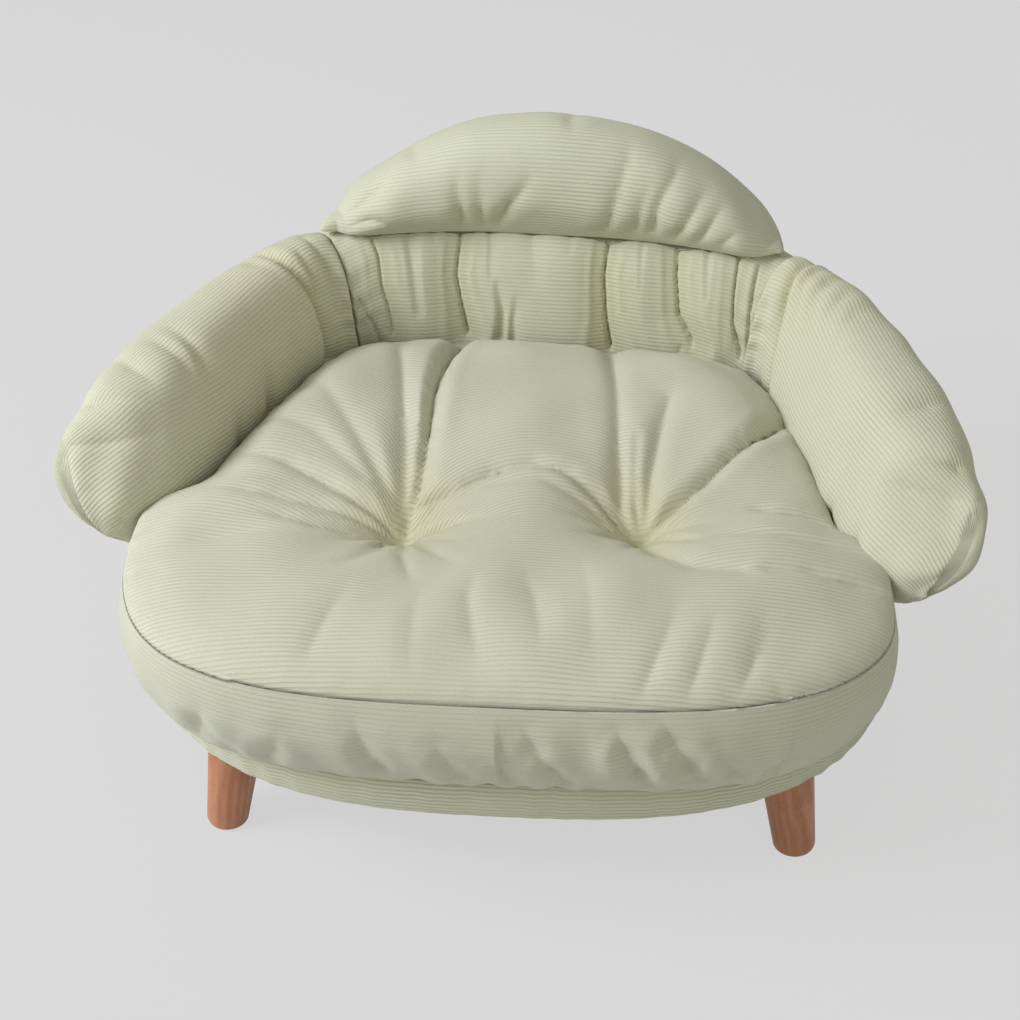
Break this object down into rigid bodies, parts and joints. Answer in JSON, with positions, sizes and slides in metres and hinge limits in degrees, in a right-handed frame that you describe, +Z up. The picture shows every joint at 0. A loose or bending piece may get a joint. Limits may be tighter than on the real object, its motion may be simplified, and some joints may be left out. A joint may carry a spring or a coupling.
{
  "type": "dog sofa bed",
  "caption": "Small dog sofa bed: tufted loose seat cushion between stuffed arms, lumbar roll and head roll, on a padded platform with splayed wooden legs.",
  "frame": {"origin": "on the floor, under the middle of the sofa's bounding box", "axes": "+Z up from the floor, -Y towards the front of the seat, +X to the right seen from the front"},
  "size_m": [0.7093, 0.5786, 0.4009],
  "materials": {
    "cover_fabric": "sage corduroy, matt, ribs along X",
    "cushion_fabric": "sage corduroy, matt, ribs along X",
    "shell_fabric": "sage corduroy, matt, ribs along each roll",
    "grip_fabric": "grey-green non-slip cloth, matt",
    "dust_cloth": "black non-woven cloth, matt",
    "zip_tape": "woven polyester tape, matt",
    "plywood": "raw birch plywood",
    "leg_wood": "stained beech, satin",
    "foam": "open polyurethane foam, matt",
    "zinc_steel": "zinc plate, satin",
    "zip_teeth": "moulded nylon",
    "zip_metal": "nickel plate, satin",
    "glide_plastic": "grey polyamide"
  },
  "bodies": {
    "sofa": {"platform_board": "plywood", "platform_foam": "foam", "platform_cover": "cover_fabric", "underside_cloth": "dust_cloth", "cloth_staples": "zinc_steel", "leg_front_left": "leg_wood", "leg_front_right": "leg_wood", "leg_rear_left": "leg_wood", "leg_rear_right": "leg_wood", "glide_front_left": "glide_plastic", "glide_front_right": "glide_plastic", "glide_rear_left": "glide_plastic", "glide_rear_right": "glide_plastic", "hanger_bolts": "zinc_steel", "tee_nuts": "zinc_steel", "left_arm": "shell_fabric", "right_arm": "shell_fabric", "lumbar_roll": "shell_fabric", "head_roll": "shell_fabric"},
    "cushion": {"seat_cushion": "cushion_fabric", "cushion_bottom_panel": "grip_fabric", "seat_zip_tape": "zip_tape", "seat_zip_teeth": "zip_teeth"},
    "zip_slider": {"seat_zip_slider": "zip_metal"}
  },
  "joints": [
    {"name": "cushion_lift_out", "type": "slide", "parent": "sofa", "child": "cushion", "axis": [0, -0.8192, 0.5736], "range_m": [0, 0.3]},
    {"name": "zip_slide", "type": "slide", "parent": "cushion", "child": "zip_slider", "axis": [1, 0, 0], "range_m": [0, 0.244]}
  ]
}
